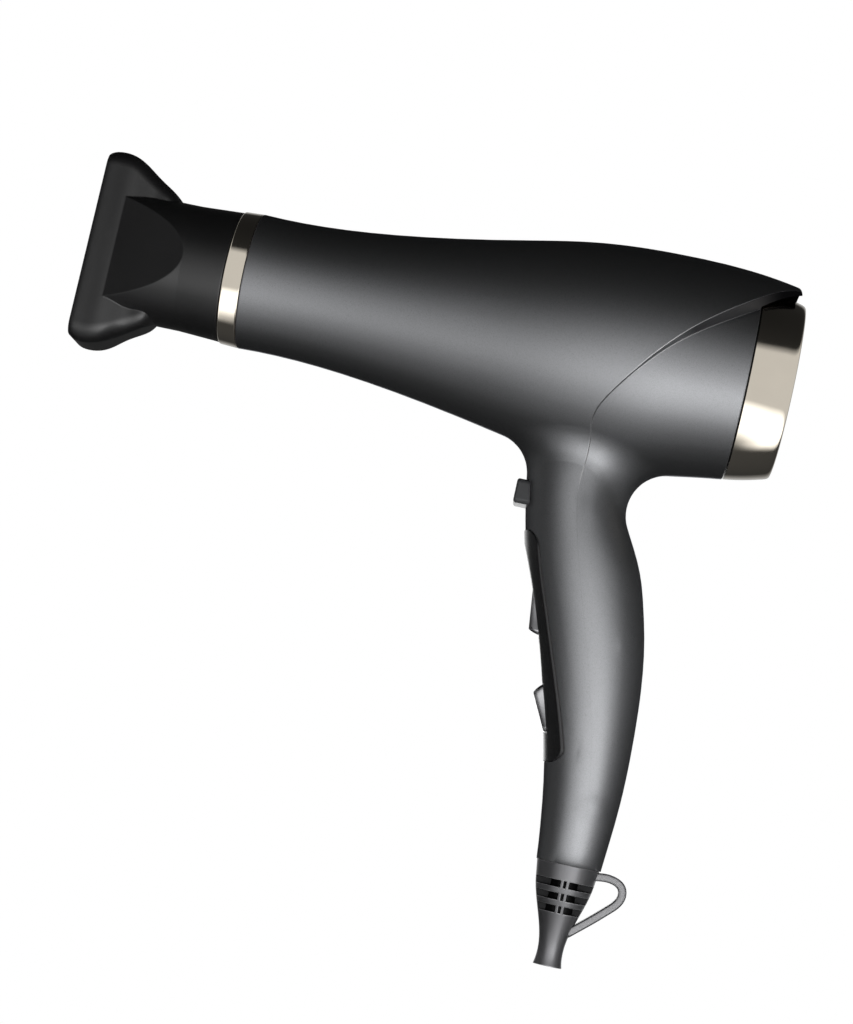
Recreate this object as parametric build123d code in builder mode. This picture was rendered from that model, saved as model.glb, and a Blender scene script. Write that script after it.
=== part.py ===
import os
from math import atan2, cos, degrees, hypot, radians, sin, sqrt

from build123d import *

os.makedirs("parts", exist_ok=True)

# Millimetres. x runs along the barrel to the rear, y to the right, z up.
# The origin is in the middle of the grip.

# Clearances
fit_gap = 0.1       # between pieces that are fixed together
run_gap = 0.35      # around pieces that move
shaft_gap = 0.05    # radial, round bearings and trunnions
overrun = 1.0       # how far a cut runs past the face that it opens
beyond = 120.0      # reach of a cut that passes right through the body

# Barrel, as stations along the axis with their radii
axis_height = 115.0
wall = 2.4
barrel_front = -157.0
barrel_front_radius = 26.2
neck_station = -106.0
neck_radius = 28.75
shoulder_station = -60.0
shoulder_radius = 36.15
chest_station = -30.0
chest_radius = 41.4
belly_station = 8.0
belly_radius = 43.35
back_station = 36.0
back_radius = 41.85
visor_end = 49.5
visor_radius = 39.6
visor_round = 2.0
visor_gap = 0.7

# Tail, the lower skin behind the crease
tail_end = 34.7
tail_end_radius = 37.2
tail_middle = 18.0
tail_middle_radius = 39.7
tail_root_radius = 42.2
crease_step = 0.4
crease_slope = 0.8
crease_reach = 55.0

# Crease in side view, from the visor down to the grip:
# place along the barrel, height over the axis, half width of the skin there
crease_points = (
    (75.0, 47.0, 15.0), (49.0, 35.7, 17.4), (32.0, 25.6, 33.5), (13.3, 10.6, 41.9), (1.0, -2.1, 43.1),
    (-9.0, -15.7, 39.6), (-15.5, -27.9, 31.8), (-18.7, -41.4, 20.6), (-18.6, -55.9, 19.9),
    (-12.0, -80.0, 19.5), (2.0, -125.0, 17.0), (8.5, -200.0, 12.0),
)

# Handle sections: height, front, rear, half width, setback of the tail skin
handle_end = -76.5
handle_sections = (
    (90.0, -40.6, 0.4, 20.0, 0.3), (70.0, -38.7, 0.4, 20.0, 0.3), (58.0, -36.9, 1.2, 20.0, 0.3),
    (47.0, -34.8, 6.4, 20.1, 0.2), (36.0, -32.2, 11.8, 20.1, 0.1), (15.0, -25.4, 17.9, 19.4, 0.08),
    (-12.0, -16.5, 21.7, 17.4, 0.08), (-38.0, -9.4, 22.6, 15.2, 0.08), (-52.0, -6.9, 22.3, 14.1, 0.08),
    (-65.0, -5.2, 21.4, 13.1, 0.08), (handle_end, -4.1, 20.4, 12.3, 0.08),
)
handle_blend = 16.0
handle_floor = 3.0

# Front ring, outlet grille and nozzle
ring_width = 7.4
ring_front_radius = 25.8
ring_round = 0.6
spigot_radius = 23.0
spigot_wall = 1.8
spigot_reach = 12.0
spigot_gap = 1.5
lip_depth = 5.0
flange_depth = 1.6
bar_count = 3
bar_width = 1.6
bar_depth = 3.0
bar_setback = 1.5
bar_ring_radius = 11.5
collar_back_radius = 25.3
collar_length = 16.5
collar_front_radius = 24.4
nozzle_length = 55.2
face_setback = 10.4
face_half_thickness = 14.2
throat_radius = 19.5
throat_stretch = 0.4
slot_half_height = 32.0
slot_half_width = 6.5
grip_ring_width = 1.8
grip_ring_thickness = 0.9
grip_ring_split = 6.0
grip_ring_setback = 4.5

# Fishtail sections: setback from the outlet, half height, half thickness, corner radius
fishtail_sections = (
    (0.0, 35.9, 13.7, 5.0), (2.0, 37.2, 14.2, 6.0), (6.0, 37.8, 14.2, 6.5), (10.4, 37.0, 14.2, 6.5),
    (15.0, 34.8, 12.8, 6.5), (22.0, 30.1, 10.7, 6.0), (29.0, 25.5, 8.6, 5.5), (36.0, 21.0, 6.5, 5.0),
)

# Rear cap
cap_gap = 0.7
cap_ring_length = 16.5
cap_ring_step = 0.2
cap_ring_middle_radius = 35.6
cap_shoulder_radius = 34.4
cap_lip_radius = 32.4
cap_rim_depth = 3.4
cap_lip_depth = 1.0
cap_spigot_depth = 7.5
cap_bore_radius = 33.6
cap_free_space = 1.0
cup_wall = 1.8
cup_radius = 32.0
dome_setback = 2.0
dome_rise = 3.0
dome_thickness = 2.0
grille_rings = 5
grille_spokes = 8
grille_bar = 1.5
grille_pitch = 5.6
mesh_thickness = 0.5
mesh_hole = 2.6
mesh_pitch = 3.8
mesh_rows = 13
mesh_border = 4.2

# Motor, fan and duct
shaft_radius = 1.6
motor_radius = 17.5
motor_length = 46.0
motor_cap_length = 7.0
motor_cap_step = 1.0
motor_boss_radius = 5.0
motor_boss_length = 1.5
bearing_radius = 4.5
bearing_length = 3.0
brush_size = (4.0, 4.5, 7.0)
brush_offset = 10.0
shaft_stub = 1.5
shaft_setback = 1.0
fan_motor_gap = 3.0
fan_back = 22.0
fan_depth = 13.0
fan_hub_radius = 10.0
fan_hub_round = 3.0
fan_radius = 31.0
fan_blades = 8
blade_thickness = 1.4
blade_root_turn = 35.0
blade_tip_turn = 58.0
blade_root_depth = 1.5
blade_margin = 1.0
duct_gap = 0.6
duct_wall = 1.6
duct_length = 58.0
duct_overhang = 3.0
sleeve_margin = 4.0
vane_count = 7
vane_thickness = 1.4
rib_width = 2.0
duct_rib_front = 8.0
duct_rib_back = 10.0

# Heater
mica_wall = 0.6
mica_tube_radius = 23.1
mica_length = 86.0
heater_gap = 1.0
heater_rib_front = 2.0
heater_rib_back = 10.0
board_thickness = 0.8
board_half_height = 19.0
tab_length = 6.0
tab_gap = 0.25
ribbon_width = 1.6
ribbon_thickness = 0.4
ribbon_turns = 6
ribbon_pitch = 11.0
ribbon_lead = 4.0
notch_depth = 1.2
thermostat_size = (12.0, 4.0, 8.0)
thermostat_setback = 9.0
thermostat_offset = 8.0
fuse_radius = 1.8
fuse_length = 12.0
fuse_setback = 15.0
fuse_offset = 8.0

# Switch panel and rockers
bezel_top = 42.5
bezel_bottom = -41.0
bezel_width = 25.6
bezel_corner = 6.0
bezel_proud = 0.5
bezel_thickness = 2.2
bezel_wrap = 14.0
dish_top = 38.0
dish_bottom = -39.5
dish_depth = 1.8
heat_rocker_height = 12.8
speed_rocker_height = -21.6
rocker_radius = 9.5
rocker_width = 12.0
rocker_face = 6.0
rocker_tilt = 13.0
rocker_underside = 2.6
rocker_round = 0.7
pivot_depth = 4.0
trunnion_radius = 1.5
trunnion_length = 1.9
ear_gap = 0.7
ear_thickness = 1.6
cage_half_length = 10.8
cage_depth = 19.0
cage_drop = 2.0
switch_top = 9.5
switch_half_length = 8.0
plunger_radius = 1.5
plunger_rise = 2.3
terminal_pitch = 5.0
terminal_thickness = 0.8
terminal_length = 4.0

# Cool-shot button
button_height = 56.4
button_tall = 9.4
button_wide = 15.0
button_corner = 1.8
button_proud = 4.1
button_stem = 11.5
button_flange = 1.5
button_flange_rise = 1.2
button_round = 1.0
cool_switch_depth = 8.0
cool_switch_wide = 10.0
cool_switch_tall = 10.0
cool_plunger = 4.2
spring_radius = 3.0
spring_wire = 0.6
spring_turns = 4
spring_length = 7.7
shelf_thickness = 2.0
shelf_rise = 1.0

# Cord guard and hanging loop
guard_x = 8.0
guard_collar_radius = 11.8
guard_shoulder_radius = 11.1
guard_neck_radius = 6.0
guard_tail_radius = 5.4
guard_length = 37.8
guard_collar_length = 5.2
guard_waist_radius = 9.15
guard_waist_drop = 14.0
guard_neck_drop = 24.0
cord_bore_radius = 3.9
guard_stem_radius = 7.2
guard_flange_radius = 8.6
guard_flange = 2.0
slot_rows = 3
slot_first = 7.2
slot_spacing = 4.7
slot_height = 2.6
slot_core_radius = 5.6
slot_post_width = 1.0
slot_post_gap = 1.1
slot_side_web = 5.0
loop_inset = 0.7
loop_width = 5.0
loop_thickness = 3.0
loop_points = ((15.5, -79.0), (24.5, -78.4), (29.0, -80.6), (29.6, -84.6), (26.0, -89.5), (12.6, -101.5))

# Screws and wires
screw_places = ((12.0, -54.0), (12.0, 8.0), (-24.0, 69.0))
screw_boss_radius = 3.8
screw_head_radius = 2.8
screw_head_height = 2.2
screw_seat = 7.0
screw_radius = 1.45
screw_length = 14.0
screw_tip_gap = 1.0
drive_slot = 0.8
drive_span = 3.4
drive_depth = 1.2
wire_radius = 0.8
wire_side = 1.3
wire_bend = 4.0
connector_size = (12.0, 12.0, 6.0)
connector_x = -7.0
connector_lead = 12.0
heat_wire_bend = (0.5, 30.0)
speed_wire_bend = (4.0, 14.0)
wire_gather = (0.0, 42.0)

barrel_axis = Axis((0, 0, axis_height), (1, 0, 0))
side_view = Plane(origin=(0, 0, axis_height), x_dir=(1, 0, 0), z_dir=(0, -1, 0))
above_view = Plane(origin=(0, 0, axis_height), x_dir=(1, 0, 0), z_dir=(0, 0, 1))
front_to_back = (0, 90, 0)
left_to_right = (90, 0, 0)
to_right = (-90, 0, 0)
from_start = (Align.CENTER, Align.CENTER, Align.MIN)
from_front = (Align.MIN, Align.CENTER, Align.CENTER)
ring_back = barrel_front - fit_gap
ring_front = barrel_front - ring_width
spigot_front = ring_front - spigot_reach
nozzle_back = ring_front - run_gap
outlet = nozzle_back - nozzle_length
lip_back = barrel_front + lip_depth
cap_front = tail_end + cap_gap
cap_back = cap_front + cap_ring_length
cap_room_end = visor_end + 2 * visor_round
cap_room_front = tail_end - cap_spigot_depth - cap_free_space
duct_radius = fan_radius + duct_gap
duct_outer_radius = duct_radius + duct_wall
duct_back = fan_back + duct_overhang
duct_front = duct_back - duct_length
motor_back = fan_back - fan_depth - fan_motor_gap
motor_front = motor_back - motor_length
shaft_front = motor_front - bearing_length - shaft_stub
heater_front = lip_back + flange_depth + heater_gap
heater_back = heater_front + mica_length


def across(x):
    return Plane(origin=(x, 0, axis_height), x_dir=(0, 1, 0), z_dir=(1, 0, 0))


def rod(start, end, radius, mode=Mode.ADD):
    with Locations((start, 0, axis_height)):
        Cylinder(radius, end - start, rotation=front_to_back, align=from_start, mode=mode)


def front_of(solid, height):
    hits = solid.find_intersection_points(Axis((-300, 0, height), (1, 0, 0)))
    return min(point.X for point, normal in hits)


def radius_of(solid, station):
    hits = solid.find_intersection_points(Axis((station, 0, axis_height), (0, 0, 1)))
    return max(point.Z for point, normal in hits) - axis_height


# Skins of the body: the barrel with its visor, and the tail set in behind the crease
barrel_profile = (
    (barrel_front, barrel_front_radius), (neck_station, neck_radius), (shoulder_station, shoulder_radius),
    (chest_station, chest_radius), (belly_station, belly_radius), (back_station, back_radius),
    (visor_end, visor_radius),
)
tail_profile = (
    (shoulder_station, shoulder_radius - crease_step), (chest_station, chest_radius - crease_step),
    (0, tail_root_radius), (tail_middle, tail_middle_radius), (tail_end, tail_end_radius),
)


def grip_solid(growth, setback_share=0):
    with BuildPart() as body:
        for height, front, rear, half_width, setback in handle_sections:
            margin = growth - setback_share * setback
            with BuildSketch(Plane.XY.offset(height)):
                with Locations(((front + rear) / 2, 0)):
                    Ellipse((rear - front) / 2 + margin, half_width + margin)
        loft()
    return body.part


with BuildPart() as grip:
    add(grip_solid(0))

with BuildPart() as barrel_skin:
    with BuildSketch(side_view):
        with BuildLine():
            crown = Spline(*barrel_profile)
            Polyline(crown @ 1, (visor_end, 0), (barrel_front, 0), crown @ 0)
        make_face()
    revolve(axis=barrel_axis)
    fillet(barrel_skin.edges().filter_by(GeomType.CIRCLE).sort_by(Axis.X)[-1], visor_round)
    add(grip.part)
    fillet(barrel_skin.edges(Select.NEW), handle_blend)

with BuildPart() as tail_skin:
    with BuildSketch(side_view):
        with BuildLine():
            crown = Spline(*tail_profile)
            Polyline(crown @ 1, (tail_end, 0), (shoulder_station, 0), crown @ 0)
        make_face()
    revolve(axis=barrel_axis)
    add(grip_solid(0, 1))
    fillet(tail_skin.edges(Select.NEW), handle_blend)

# Slanting cut along the crease; its face leans in by the crease slope
crease_middle = []
crease_outside = []
for index, (along, height, half_width) in enumerate(crease_points):
    before = crease_points[max(index - 1, 0)]
    after = crease_points[min(index + 1, len(crease_points) - 1)]
    run = hypot(after[0] - before[0], after[1] - before[1])
    lean_x = -(after[1] - before[1]) / run * crease_slope
    lean_z = (after[0] - before[0]) / run * crease_slope
    crease_middle.append((along + lean_x * half_width, height + lean_z * half_width))
    outward = crease_reach - half_width
    crease_outside.append((along - lean_x * outward, height - lean_z * outward))

with BuildPart() as crease_cut:
    for offset, points in ((0, crease_middle), (crease_reach, crease_outside)):
        with BuildSketch(side_view.offset(offset)):
            with BuildLine():
                edge = Spline(*points)
                Polyline(edge @ 1, (beyond, points[-1][1]), (beyond, points[0][1]), edge @ 0)
            make_face()
    loft(ruled=True)
    mirror(about=Plane.XZ)

with BuildPart() as skin:
    add(barrel_skin.part)
    add(crease_cut.part, mode=Mode.SUBTRACT)
    add(tail_skin.part)
    with BuildSketch(side_view):
        with BuildLine():
            Polyline(
                (tail_end, 0), (tail_end, tail_end_radius + visor_gap),
                (cap_room_end, tail_end_radius + visor_gap), (cap_room_end, 0), close=True,
            )
        make_face()
    revolve(axis=barrel_axis, mode=Mode.SUBTRACT)

# Panel line on the front of the grip, a shallow arc on which both rockers sit
dish_start = (front_of(grip.part, dish_top) - bezel_proud, dish_top)
dish_end = (front_of(grip.part, dish_bottom) - bezel_proud, dish_bottom)
dish_middle_height = (dish_top + dish_bottom) / 2
chord_middle = (dish_start[0] + dish_end[0]) / 2
chord = hypot(dish_end[0] - dish_start[0], dish_end[1] - dish_start[1])
down_x = (dish_end[0] - dish_start[0]) / chord
down_z = (dish_end[1] - dish_start[1]) / chord
dish_sag = dish_depth + bezel_proud
dish_low = (chord_middle - down_z * dish_sag, dish_middle_height + down_x * dish_sag)
dish_radius = (chord * chord / 4 + dish_sag * dish_sag) / (2 * dish_sag)
dish_centre = (dish_low[0] + down_z * dish_radius, dish_low[1] - down_x * dish_radius)


def panel_plane(height):
    x = dish_centre[0] + sqrt(dish_radius * dish_radius - (height - dish_centre[1]) ** 2)
    out_x = (dish_centre[0] - x) / dish_radius
    out_z = (dish_centre[1] - height) / dish_radius
    return Plane(origin=(x, 0, height), x_dir=(out_z, 0, -out_x), z_dir=(0, -1, 0))


heat_plane = panel_plane(heat_rocker_height)
speed_plane = panel_plane(speed_rocker_height)
bezel_height = bezel_top - bezel_bottom
bezel_centre = (bezel_top + bezel_bottom) / 2
wrap_top = front_of(grip.part, bezel_top) + bezel_wrap
wrap_bottom = front_of(grip.part, bezel_bottom) + bezel_wrap


def panel_block(inset):
    with BuildPart() as block:
        with BuildSketch(Plane.YZ.offset(-beyond)):
            with Locations((0, bezel_centre)):
                RectangleRounded(bezel_width - 2 * inset, bezel_height - 2 * inset, bezel_corner - inset)
        extrude(amount=2 * beyond)
        with BuildSketch(Plane.XZ):
            with BuildLine():
                Polyline(
                    (-beyond, bezel_top + bezel_corner), (wrap_top - inset, bezel_top),
                    (wrap_bottom - inset, bezel_bottom), (-beyond, bezel_bottom - bezel_corner), close=True,
                )
            make_face()
        extrude(amount=beyond, both=True, mode=Mode.INTERSECT)
    return block.part


# Room inside the shell
with BuildPart() as grip_room:
    add(grip_solid(-wall))
    with Locations((0, 0, handle_end - overrun)):
        Box(beyond, beyond, handle_floor + overrun, align=from_start, mode=Mode.SUBTRACT)

with BuildPart() as room:
    with BuildSketch(side_view):
        with BuildLine():
            roof = Spline(
                (lip_back, barrel_front_radius - wall), (neck_station, neck_radius - wall),
                (shoulder_station, shoulder_radius - crease_step - wall),
                (chest_station, chest_radius - crease_step - wall), (0, tail_root_radius - wall),
                (tail_middle, tail_middle_radius - wall),
                (cap_room_front, cap_bore_radius + cap_free_space),
            )
            Polyline(roof @ 1, (cap_room_front, 0), (lip_back, 0), roof @ 0)
        make_face()
    revolve(axis=barrel_axis)
    rod(barrel_front - overrun, lip_back + overrun, spigot_radius + fit_gap)
    rod(cap_room_front - overrun, tail_end + overrun, cap_bore_radius)
    add(grip_room.part)

# Ribs that carry the heater and the duct, bosses for the screws, shelf behind the cool-shot switch
button_front = front_of(grip.part, button_height) - button_proud
button_back = button_front + button_stem
cool_switch_front = button_back + spring_length
cool_switch_back = cool_switch_front + cool_switch_depth
heater_ribs = (heater_front + heater_rib_front, heater_back - heater_rib_back)
duct_ribs = (duct_front + duct_rib_front, duct_back - duct_rib_back)

with BuildPart() as supports:
    for station in duct_ribs:
        rod(station, station + rib_width, radius_of(tail_skin.part, station + rib_width) - wall / 2)
        bore_end = station + rib_width + overrun
        rod(station - overrun, bore_end, duct_outer_radius + fit_gap, mode=Mode.SUBTRACT)
    for x, z in screw_places:
        with Locations((x, 0, z)):
            Cylinder(screw_boss_radius, beyond, rotation=left_to_right)
    with Locations((cool_switch_back + fit_gap, 0, button_height)):
        Box(shelf_thickness, beyond, cool_switch_tall + 2 * shelf_rise, align=from_front)
    add(tail_skin.part, mode=Mode.INTERSECT)
    for station in heater_ribs:
        rod(station, station + rib_width, radius_of(barrel_skin.part, station) - wall / 2)
        bore_end = station + rib_width + overrun
        rod(station - overrun, bore_end, mica_tube_radius + fit_gap, mode=Mode.SUBTRACT)

with BuildPart() as shell:
    add(skin.part)
    add(room.part, mode=Mode.SUBTRACT)
    add(supports.part)
    add(panel_block(0), mode=Mode.SUBTRACT)
    with BuildSketch(Plane.YZ.offset(button_front - overrun)):
        with Locations((0, button_height)):
            RectangleRounded(button_wide + 2 * run_gap, button_tall + 2 * run_gap, button_corner + run_gap)
    extrude(amount=button_stem + overrun, mode=Mode.SUBTRACT)
    with Locations((guard_x, 0, handle_end - overrun)):
        Cylinder(
            guard_stem_radius + fit_gap, handle_floor + 2 * overrun, align=from_start, mode=Mode.SUBTRACT,
        )
    for x, z in screw_places:
        with Locations((x, screw_seat, z)):
            Cylinder(
                screw_head_radius + run_gap, beyond, rotation=to_right, align=from_start, mode=Mode.SUBTRACT,
            )
            Cylinder(
                screw_radius + fit_gap, screw_length + screw_tip_gap,
                rotation=left_to_right, align=from_start, mode=Mode.SUBTRACT,
            )

with BuildPart() as housing_left:
    add(shell.part)
    split(bisect_by=Plane.XZ, keep=Keep.TOP)
housing_left.part.label = "housing_left"
export_step(housing_left.part, "parts/housing_left.step")

with BuildPart() as housing_right:
    add(shell.part)
    split(bisect_by=Plane.XZ, keep=Keep.BOTTOM)
housing_right.part.label = "housing_right"
export_step(housing_right.part, "parts/housing_right.step")

with BuildPart() as housing_screws:
    for x, z in screw_places:
        with Locations((x, screw_seat, z)):
            Cylinder(screw_head_radius, screw_head_height, rotation=to_right, align=from_start)
            Cylinder(screw_radius, screw_length, rotation=left_to_right, align=from_start)
        with Locations((x, screw_seat + screw_head_height, z)):
            Box(drive_slot, 2 * drive_depth, drive_span, mode=Mode.SUBTRACT)
            Box(drive_span, 2 * drive_depth, drive_slot, mode=Mode.SUBTRACT)
housing_screws.part.label = "housing_screws"
export_step(housing_screws.part, "parts/housing_screws.step")

# Polished ring between barrel and nozzle
with BuildPart() as front_ring:
    with BuildSketch(side_view):
        with BuildLine():
            Polyline(
                (ring_front, spigot_radius + fit_gap), (ring_front, ring_front_radius),
                (ring_back, barrel_front_radius), (ring_back, spigot_radius + fit_gap), close=True,
            )
        make_face()
    revolve(axis=barrel_axis)
    rims = front_ring.edges().filter_by(GeomType.CIRCLE).sort_by(SortBy.RADIUS)[-2:]
    fillet(rims, ring_round)
front_ring.part.label = "front_ring"
export_step(front_ring.part, "parts/front_ring.step")

# Outlet grille with the spigot that carries the nozzle
with BuildPart() as outlet_grille:
    rod(spigot_front, lip_back + flange_depth, spigot_radius)
    rod(lip_back + fit_gap, lip_back + flange_depth, barrel_front_radius - wall - fit_gap)
    rod(spigot_front - overrun, heater_front, spigot_radius - spigot_wall, mode=Mode.SUBTRACT)
    bar_start = spigot_front + bar_setback
    bar_end = bar_start + bar_depth
    rod(bar_start, bar_end, bar_ring_radius + bar_width)
    rod(bar_start - overrun, bar_end + overrun, bar_ring_radius, mode=Mode.SUBTRACT)
    for number in range(bar_count):
        turn = number * 180 / bar_count
        with Locations(Location(((bar_start + bar_end) / 2, 0, axis_height), (turn, 0, 0))):
            Box(bar_depth, 2 * spigot_radius - spigot_wall, bar_width)
outlet_grille.part.label = "outlet_grille"
export_step(outlet_grille.part, "parts/outlet_grille.step")

# Nozzle: round collar, two slanting faces, and a fishtail that ends in the slot
collar_front = nozzle_back - collar_length
face_front = outlet + face_setback
grip_ring_x = spigot_front + grip_ring_setback
grip_ring_outer = spigot_radius + shaft_gap + grip_ring_thickness

with BuildPart() as fishtail:
    for setback, half_height, half_thickness, corner in fishtail_sections:
        with BuildSketch(across(outlet + setback)):
            RectangleRounded(2 * half_thickness, 2 * half_height, corner)
    loft()

with BuildPart() as nozzle:
    with BuildSketch(side_view):
        with BuildLine():
            Polyline(
                (nozzle_back, 0), (nozzle_back, collar_back_radius), (collar_front, collar_front_radius),
                (face_front, collar_front_radius), (face_front, 0), close=True,
            )
        make_face()
    revolve(axis=barrel_axis)
    with BuildSketch(above_view):
        with BuildLine():
            Polyline(
                (face_front, face_half_thickness), (collar_front, collar_front_radius),
                (collar_front, beyond), (face_front, beyond), close=True,
            )
        make_face()
        mirror(about=Plane.XZ)
    extrude(amount=beyond, both=True, mode=Mode.SUBTRACT)
    add(fishtail.part)
    rod(spigot_front - spigot_gap, nozzle_back + overrun, spigot_radius + run_gap, mode=Mode.SUBTRACT)
    rod(collar_front, nozzle_back, throat_radius, mode=Mode.SUBTRACT)
    with BuildSketch(across(collar_front)):
        SlotOverall(2 * throat_radius + throat_stretch, 2 * throat_radius, rotation=90)
    with BuildSketch(across(outlet - overrun)):
        SlotOverall(2 * slot_half_height, 2 * slot_half_width, rotation=90)
    loft(mode=Mode.SUBTRACT)
    groove_end = grip_ring_x + grip_ring_width + shaft_gap
    rod(grip_ring_x - shaft_gap, groove_end, grip_ring_outer + fit_gap, mode=Mode.SUBTRACT)
nozzle.part.label = "nozzle"
export_step(nozzle.part, "parts/nozzle.step")

# Split spring ring in the nozzle's collar that grips the spigot
with BuildPart() as nozzle_grip_ring:
    rod(grip_ring_x, grip_ring_x + grip_ring_width, grip_ring_outer)
    rod(grip_ring_x - overrun, groove_end + overrun, spigot_radius + shaft_gap, mode=Mode.SUBTRACT)
    with Locations((grip_ring_x, 0, axis_height + spigot_radius)):
        Box(4 * grip_ring_width, grip_ring_split, 6 * grip_ring_thickness, mode=Mode.SUBTRACT)
nozzle_grip_ring.part.label = "nozzle_grip_ring"
export_step(nozzle_grip_ring.part, "parts/nozzle_grip_ring.step")

# Rear cap: polished ring, grille cup and dust mesh
with BuildPart() as rear_ring:
    with BuildSketch(side_view):
        with BuildLine():
            band = Spline(
                (cap_front, tail_end_radius - cap_ring_step),
                (cap_front + cap_ring_length / 2, cap_ring_middle_radius),
                (cap_back - cap_rim_depth, cap_shoulder_radius),
            )
            rim = Spline(band @ 1, (cap_back, cap_lip_radius), tangents=(band % 1, (-0.6, -1)))
            Polyline(
                rim @ 1, (cap_back - cap_lip_depth, cup_radius + fit_gap), (cap_front, cup_radius + fit_gap),
                band @ 0,
            )
        make_face()
    revolve(axis=barrel_axis)
rear_ring.part.label = "rear_ring"
export_step(rear_ring.part, "parts/rear_ring.step")

dome_foot = cap_back - dome_setback
dome_top = dome_foot + dome_rise
dome_edge = cup_radius - cup_wall / 2
dome_waist = dome_foot + dome_rise * 3 / 4
with BuildPart() as inlet_dome:
    with BuildSketch(side_view):
        with BuildLine():
            ThreePointArc((dome_foot, dome_edge), (dome_waist, dome_edge / 2), (dome_top, 0))
            Line((dome_top, 0), (dome_top - dome_thickness, 0))
            ThreePointArc(
                (dome_top - dome_thickness, 0), (dome_waist - dome_thickness, dome_edge / 2),
                (dome_foot - dome_thickness, dome_edge),
            )
            Line((dome_foot - dome_thickness, dome_edge), (dome_foot, dome_edge))
        make_face()
    revolve(axis=barrel_axis)
    with BuildSketch(across(dome_foot - dome_thickness - overrun)):
        for ring in reversed(range(1, grille_rings)):
            Circle(ring * grille_pitch + grille_pitch)
            Circle(ring * grille_pitch + grille_bar, mode=Mode.SUBTRACT)
            for bar in range(grille_spokes // 2):
                Rectangle(4 * cup_radius, grille_bar, rotation=bar * 360 / grille_spokes, mode=Mode.SUBTRACT)
    extrude(amount=dome_rise + dome_thickness + 2 * overrun, mode=Mode.SUBTRACT)

with BuildPart() as inlet_grille:
    rod(cap_front - cap_spigot_depth, cap_front - fit_gap, cap_bore_radius - run_gap)
    rod(cap_front - cap_spigot_depth, dome_foot, cup_radius)
    rod(cap_front - cap_spigot_depth - overrun, cap_back, cup_radius - cup_wall, mode=Mode.SUBTRACT)
    add(inlet_dome.part)
inlet_grille.part.label = "inlet_grille"
export_step(inlet_grille.part, "parts/inlet_grille.step")

with BuildPart() as filter_mesh:
    mesh_x = cap_front + cap_ring_length / 2
    rod(mesh_x, mesh_x + mesh_thickness, cup_radius - cup_wall - fit_gap)
    hole_limit = cup_radius - cup_wall - mesh_border
    with BuildSketch(across(mesh_x - overrun)):
        with GridLocations(mesh_pitch, mesh_pitch, mesh_rows, mesh_rows) as grid:
            places = [p for p in grid.local_locations if hypot(p.position.X, p.position.Y) < hole_limit]
        with Locations(*places):
            Rectangle(mesh_hole, mesh_hole)
    extrude(amount=mesh_thickness + 2 * overrun, mode=Mode.SUBTRACT)
filter_mesh.part.label = "filter_mesh"
export_step(filter_mesh.part, "parts/filter_mesh.step")

# Motor in its can, on the sleeve of the fan duct
with BuildPart() as motor_can:
    rod(motor_front + motor_cap_length, motor_back, motor_radius)
    rod(motor_back, motor_back + motor_boss_length, motor_boss_radius)
    rod(motor_front, fan_back, shaft_radius + shaft_gap, mode=Mode.SUBTRACT)
motor_can.part.label = "motor_can"
export_step(motor_can.part, "parts/motor_can.step")

with BuildPart() as motor_end_cap:
    rod(motor_front, motor_front + motor_cap_length - fit_gap, motor_radius - motor_cap_step)
    rod(motor_front - bearing_length, motor_front, bearing_radius)
    rod(shaft_front, motor_front + motor_cap_length, shaft_radius + shaft_gap, mode=Mode.SUBTRACT)
    for place in (-brush_offset, brush_offset):
        with Locations((motor_front, place, axis_height)):
            Box(*brush_size, align=(Align.MAX, Align.CENTER, Align.CENTER))
motor_end_cap.part.label = "motor_end_cap"
export_step(motor_end_cap.part, "parts/motor_end_cap.step")

with BuildPart() as motor_shaft:
    rod(shaft_front, fan_back - shaft_setback, shaft_radius)
motor_shaft.part.label = "motor_shaft"
export_step(motor_shaft.part, "parts/motor_shaft.step")

blade_root = fan_hub_radius - blade_root_depth
with BuildPart() as fan_blade:
    for distance, turn in ((blade_root, blade_root_turn), (fan_radius, blade_tip_turn)):
        middle = (fan_back - fan_depth / 2, 0, axis_height + distance)
        with BuildSketch(Plane(origin=middle, x_dir=(1, 0, 0))):
            Rectangle((fan_depth - 2 * blade_margin) / cos(radians(turn)), blade_thickness, rotation=turn)
    loft(ruled=True)

with BuildPart() as fan_sweep:
    rod(fan_back - fan_depth, fan_back, fan_radius)

with BuildPart() as fan:
    rod(fan_back - fan_depth, fan_back, fan_hub_radius)
    fillet(fan.edges().filter_by(GeomType.CIRCLE).sort_by(Axis.X)[-1], fan_hub_round)
    for number in range(fan_blades):
        add(fan_blade.part.rotate(barrel_axis, number * 360 / fan_blades))
    add(fan_sweep.part, mode=Mode.INTERSECT)
    rod(motor_back, fan_back + overrun, shaft_radius, mode=Mode.SUBTRACT)
fan.part.label = "fan"
export_step(fan.part, "parts/fan.step")

with BuildPart() as fan_duct:
    sleeve_front = motor_front + motor_cap_length + sleeve_margin
    sleeve_back = motor_back - sleeve_margin
    sleeve_length = sleeve_back - sleeve_front
    sleeve_radius = motor_radius + fit_gap
    rod(duct_front, duct_back, duct_outer_radius)
    rod(duct_front - overrun, duct_back + overrun, duct_radius, mode=Mode.SUBTRACT)
    rod(sleeve_front, sleeve_back, sleeve_radius + duct_wall)
    for number in range(vane_count):
        turn = number * 360 / vane_count
        middle = (duct_radius + sleeve_radius + duct_wall) / 2
        with Locations(Location((sleeve_front, 0, axis_height), (turn, 0, 0))):
            with Locations((0, 0, middle)):
                Box(sleeve_length, vane_thickness, duct_radius - sleeve_radius, align=from_front)
    rod(sleeve_front - overrun, sleeve_back + overrun, sleeve_radius, mode=Mode.SUBTRACT)
fan_duct.part.label = "fan_duct"
export_step(fan_duct.part, "parts/fan_duct.step")

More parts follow.
